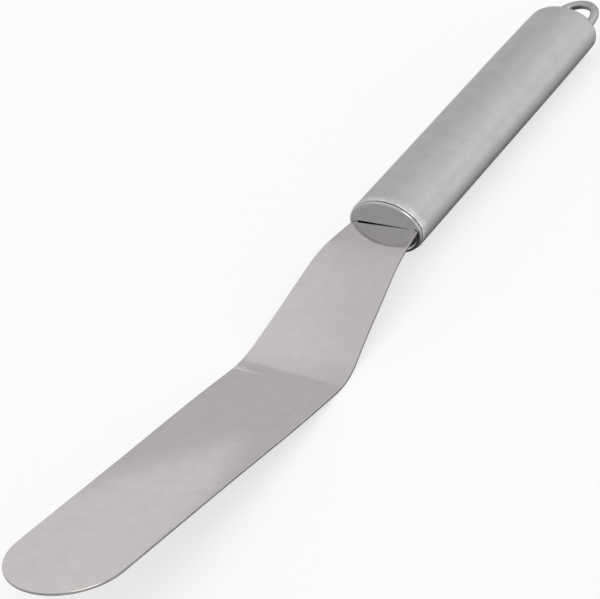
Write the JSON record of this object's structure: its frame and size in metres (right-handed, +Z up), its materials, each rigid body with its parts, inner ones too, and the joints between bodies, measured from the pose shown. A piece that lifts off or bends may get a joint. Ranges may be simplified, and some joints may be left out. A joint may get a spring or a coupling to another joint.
{
  "type": "offset palette knife",
  "caption": "Offset palette knife: a long round-tipped steel blade cranked below a hollow oval handle, which a slotted cap closes in front and a wire loop ends behind.",
  "frame": {"origin": "on the surface that the knife lies on, under the middle of its bounding box", "axes": "+Y back along the handle to the hanging loop, +X across the blade, +Z up out of the blade's upper face; the knife lies at rest on its heel bend and on the rear of its handle"},
  "size_m": [0.0364, 0.3018, 0.0216],
  "materials": {
    "blade_steel": "fine satin, brushed along the blade",
    "cap_steel": "satin face with a polished rim",
    "shell_steel": "satin, ground along the tube, with a buffed front edge",
    "wire_steel": "drawn wire, lightly polished",
    "weld_steel": "bare weld bead, not ground"
  },
  "bodies": {
    "root": {"blade": "blade_steel", "front_cap": "cap_steel", "handle_shell": "shell_steel", "hanging_loop": "wire_steel", "tang_weld_upper": "weld_steel", "tang_weld_lower": "weld_steel", "loop_weld_left": "weld_steel", "loop_weld_right": "weld_steel"}
  },
  "joints": []
}
